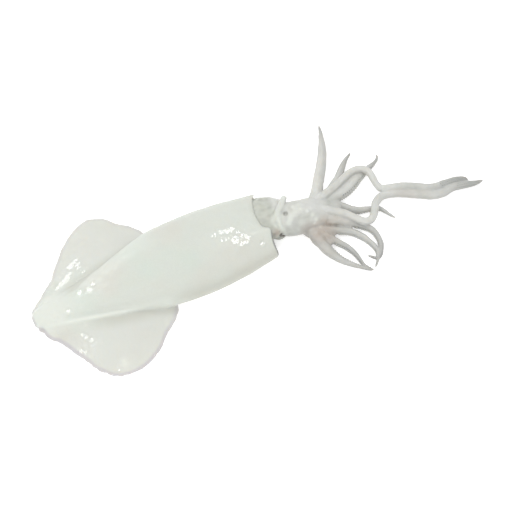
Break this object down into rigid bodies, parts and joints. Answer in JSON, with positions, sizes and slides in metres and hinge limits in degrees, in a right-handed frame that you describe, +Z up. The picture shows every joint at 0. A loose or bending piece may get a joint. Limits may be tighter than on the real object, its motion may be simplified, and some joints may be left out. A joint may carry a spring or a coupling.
{
  "type": "cleaned squid",
  "caption": "Whole cleaned squid with a gutted mantle tube, side fins, and the head set back in its mouth with arms and tentacles spread, lying flat, ready to cook.",
  "frame": {"origin": "middle of the underside of the bounding box, on the surface it lies on", "axes": "+X along the body from the tail to the tentacle tips, +Y across the body, +Z up"},
  "size_m": [0.3874, 0.152, 0.0316],
  "materials": {
    "mantle_flesh": "wet and glossy, translucent",
    "head_flesh": "wet and glossy, translucent"
  },
  "bodies": {
    "root": {"mantle": "mantle_flesh", "head_arms": "head_flesh"}
  },
  "joints": []
}
